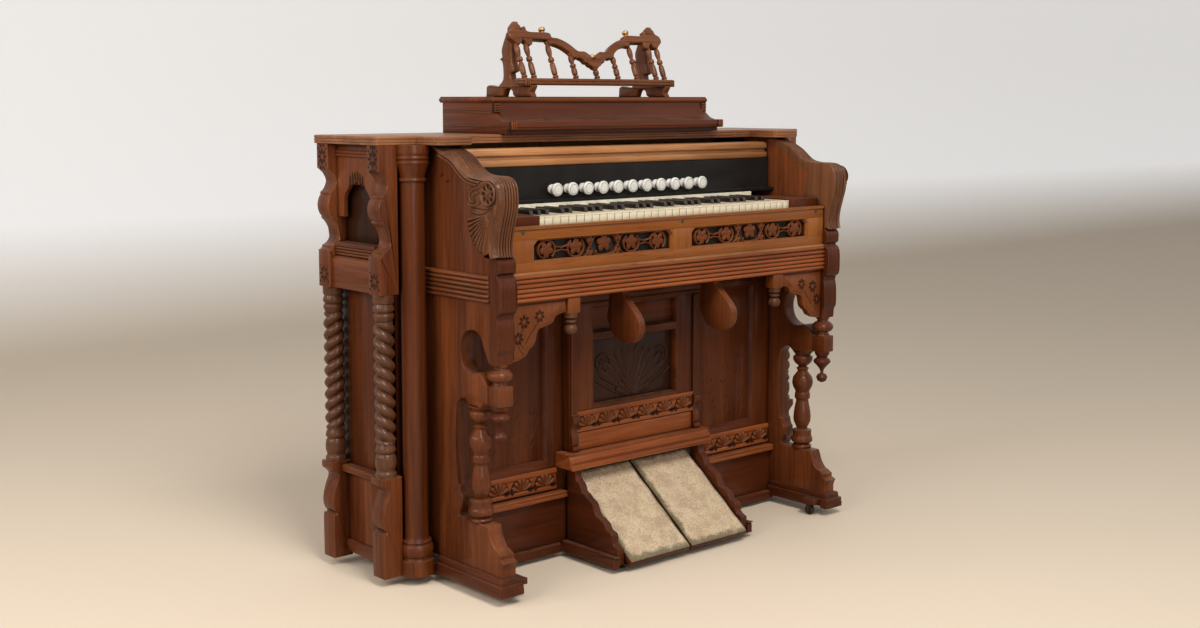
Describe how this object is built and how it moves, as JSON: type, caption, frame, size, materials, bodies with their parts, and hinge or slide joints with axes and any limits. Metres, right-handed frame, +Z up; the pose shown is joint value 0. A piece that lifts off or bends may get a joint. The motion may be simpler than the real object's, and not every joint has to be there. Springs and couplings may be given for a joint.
{
  "type": "pump organ",
  "caption": "Parlour reed organ with a carved wooden case, twisted corner columns, sliding fall, pull stops, music rack and two foot pedals.",
  "frame": {"origin": "on the floor, below the middle of the bounding box", "axes": "+X to the player's right along the keyboard, -Y towards the player, +Z up"},
  "size_m": [1.404, 0.5622, 1.306],
  "materials": {
    "walnut": "reddish brown walnut, satin shellac, worn on the edges",
    "dark_walnut": "dark reddish brown walnut, satin, dusty in the corners",
    "golden_oak": "golden orange quartered wood, glossy varnish",
    "black_lacquer": "black lacquered board",
    "silvered_strip": "pale grey green felted strip with a dull silvery front",
    "ivory": "ivory coloured key coverings, slightly yellowed",
    "ebony": "black stained hardwood, satin",
    "porcelain": "white glazed knob faces, plain",
    "carpet": "beige woven carpet, olive at the worn edges, brown at the lower lips",
    "cast_iron": "dark cast iron",
    "pine": "plain softwood",
    "bellows_cloth": "dark rubber cloth on boards"
  },
  "bodies": {
    "case": {"top_board": "walnut", "desk_box": "walnut", "music_rack": "walnut", "corner_column_left": "walnut", "corner_column_right": "walnut", "end_panel_left": "walnut", "end_panel_right": "walnut", "end_head_left": "walnut", "end_head_right": "walnut", "twist_column_left_front": "walnut", "twist_column_left_rear": "walnut", "twist_column_right_front": "walnut", "twist_column_right_rear": "walnut", "cheek_left": "walnut", "cheek_right": "walnut", "leg_left": "walnut", "leg_right": "walnut", "side_board_left": "walnut", "side_board_right": "walnut", "bracket_left": "walnut", "bracket_right": "walnut", "key_bed": "walnut", "lower_front": "dark_walnut", "pedal_box": "dark_walnut", "case_back": "dark_walnut", "key_slip": "golden_oak", "stop_board": "black_lacquer", "key_strip": "silvered_strip", "reed_chest": "pine", "bellows_reservoir": "bellows_cloth"},
    "fall": {"fall_board": "golden_oak"},
    "white_keys": {"natural_keys": "ivory"},
    "black_keys": {"sharp_keys": "ebony"},
    "stop_01": {"stop_knob_01": "porcelain"},
    "stop_02": {"stop_knob_02": "porcelain"},
    "stop_03": {"stop_knob_03": "porcelain"},
    "stop_04": {"stop_knob_04": "porcelain"},
    "stop_05": {"stop_knob_05": "porcelain"},
    "stop_06": {"stop_knob_06": "porcelain"},
    "stop_07": {"stop_knob_07": "porcelain"},
    "stop_08": {"stop_knob_08": "porcelain"},
    "stop_09": {"stop_knob_09": "porcelain"},
    "stop_10": {"stop_knob_10": "porcelain"},
    "stop_11": {"stop_knob_11": "porcelain"},
    "treadle_left": {"pedal_left": "dark_walnut", "pedal_carpet_left": "carpet"},
    "treadle_right": {"pedal_right": "dark_walnut", "pedal_carpet_right": "carpet"},
    "knee_left": {"knee_lever_left": "walnut"},
    "knee_right": {"knee_lever_right": "walnut"},
    "fork_left_front": {"castor_left_front_fork": "cast_iron"},
    "wheel_left_front": {"castor_left_front_wheel": "cast_iron"},
    "fork_right_front": {"castor_right_front_fork": "cast_iron"},
    "wheel_right_front": {"castor_right_front_wheel": "cast_iron"},
    "fork_left_rear": {"castor_left_rear_fork": "cast_iron"},
    "wheel_left_rear": {"castor_left_rear_wheel": "cast_iron"},
    "fork_right_rear": {"castor_right_rear_fork": "cast_iron"},
    "wheel_right_rear": {"castor_right_rear_wheel": "cast_iron"},
    "bellows_left": {"exhauster_left": "pine"},
    "bellows_right": {"exhauster_right": "pine"}
  },
  "joints": [
    {"name": "fall_slide", "type": "slide", "parent": "case", "child": "fall", "axis": [0, -1, 0], "range_m": [0, 0.2]},
    {"name": "white_key_dip", "type": "hinge", "parent": "case", "child": "white_keys", "pos_m": [0, -0.02194, 0.843], "axis": [1, 0, 0], "range_deg": [0, 3], "stiffness_Nm_per_rad": 14, "springref_deg": -20.05},
    {"name": "black_key_dip", "type": "hinge", "parent": "case", "child": "black_keys", "pos_m": [0, -0.02474, 0.815], "axis": [1, 0, 0], "range_deg": [0, 3.4], "stiffness_Nm_per_rad": 8, "springref_deg": -20.05},
    {"name": "stop_01_pull", "type": "slide", "parent": "case", "child": "stop_01", "axis": [0, -1, 0], "range_m": [0, 0.025]},
    {"name": "stop_02_pull", "type": "slide", "parent": "case", "child": "stop_02", "axis": [0, -1, 0], "range_m": [0, 0.025]},
    {"name": "stop_03_pull", "type": "slide", "parent": "case", "child": "stop_03", "axis": [0, -1, 0], "range_m": [0, 0.025]},
    {"name": "stop_04_pull", "type": "slide", "parent": "case", "child": "stop_04", "axis": [0, -1, 0], "range_m": [0, 0.025]},
    {"name": "stop_05_pull", "type": "slide", "parent": "case", "child": "stop_05", "axis": [0, -1, 0], "range_m": [0, 0.025]},
    {"name": "stop_06_pull", "type": "slide", "parent": "case", "child": "stop_06", "axis": [0, -1, 0], "range_m": [0, 0.025]},
    {"name": "stop_07_pull", "type": "slide", "parent": "case", "child": "stop_07", "axis": [0, -1, 0], "range_m": [0, 0.025]},
    {"name": "stop_08_pull", "type": "slide", "parent": "case", "child": "stop_08", "axis": [0, -1, 0], "range_m": [0, 0.025]},
    {"name": "stop_09_pull", "type": "slide", "parent": "case", "child": "stop_09", "axis": [0, -1, 0], "range_m": [0, 0.025]},
    {"name": "stop_10_pull", "type": "slide", "parent": "case", "child": "stop_10", "axis": [0, -1, 0], "range_m": [0, 0.025]},
    {"name": "stop_11_pull", "type": "slide", "parent": "case", "child": "stop_11", "axis": [0, -1, 0], "range_m": [0, 0.025]},
    {"name": "pedal_left_press", "type": "hinge", "parent": "case", "child": "treadle_left", "pos_m": [-0.1, -0.24594, 0.026], "axis": [-1, 0, 0], "range_deg": [0, 18], "stiffness_Nm_per_rad": 9, "springref_deg": -20.05},
    {"name": "pedal_right_press", "type": "hinge", "parent": "case", "child": "treadle_right", "pos_m": [0.1, -0.24594, 0.026], "axis": [-1, 0, 0], "range_deg": [0, 18], "stiffness_Nm_per_rad": 9, "springref_deg": -20.05},
    {"name": "knee_left_swing", "type": "hinge", "parent": "case", "child": "knee_left", "pos_m": [-0.166, -0.18294, 0.6677], "axis": [0, 1, 0], "range_deg": [0, 25], "stiffness_Nm_per_rad": 0.9, "springref_deg": -11.46},
    {"name": "knee_right_swing", "type": "hinge", "parent": "case", "child": "knee_right", "pos_m": [0.166, -0.18294, 0.6677], "axis": [0, -1, 0], "range_deg": [0, 25], "stiffness_Nm_per_rad": 0.9, "springref_deg": -11.46},
    {"name": "castor_left_front_swivel", "type": "hinge", "parent": "case", "child": "fork_left_front", "pos_m": [-0.508, -0.22694, 0.021], "axis": [0, 0, 1], "continuous": true},
    {"name": "castor_left_front_roll", "type": "hinge", "parent": "fork_left_front", "child": "wheel_left_front", "pos_m": [-0.508, -0.21894, 0.013], "axis": [1, 0, 0], "continuous": true},
    {"name": "castor_right_front_swivel", "type": "hinge", "parent": "case", "child": "fork_right_front", "pos_m": [0.508, -0.22694, 0.021], "axis": [0, 0, 1], "continuous": true},
    {"name": "castor_right_front_roll", "type": "hinge", "parent": "fork_right_front", "child": "wheel_right_front", "pos_m": [0.508, -0.21894, 0.013], "axis": [1, 0, 0], "continuous": true},
    {"name": "castor_left_rear_swivel", "type": "hinge", "parent": "case", "child": "fork_left_rear", "pos_m": [-0.59, 0.22306, 0.021], "axis": [0, 0, 1], "continuous": true},
    {"name": "castor_left_rear_roll", "type": "hinge", "parent": "fork_left_rear", "child": "wheel_left_rear", "pos_m": [-0.59, 0.23106, 0.013], "axis": [1, 0, 0], "continuous": true},
    {"name": "castor_right_rear_swivel", "type": "hinge", "parent": "case", "child": "fork_right_rear", "pos_m": [0.59, 0.22306, 0.021], "axis": [0, 0, 1], "continuous": true},
    {"name": "castor_right_rear_roll", "type": "hinge", "parent": "fork_right_rear", "child": "wheel_right_rear", "pos_m": [0.59, 0.23106, 0.013], "axis": [1, 0, 0], "continuous": true},
    {"name": "exhauster_left_swing", "type": "hinge", "parent": "case", "child": "bellows_left", "pos_m": [-0.11, 0.10306, 0.0613], "axis": [1, 0, 0], "range_deg": [0, 11]},
    {"name": "exhauster_right_swing", "type": "hinge", "parent": "case", "child": "bellows_right", "pos_m": [0.11, 0.10306, 0.0613], "axis": [1, 0, 0], "range_deg": [0, 11]}
  ],
  "couplings": [
    {"joint": "exhauster_left_swing", "follows": "pedal_left_press", "ratio": 0.6},
    {"joint": "exhauster_right_swing", "follows": "pedal_right_press", "ratio": 0.6}
  ]
}
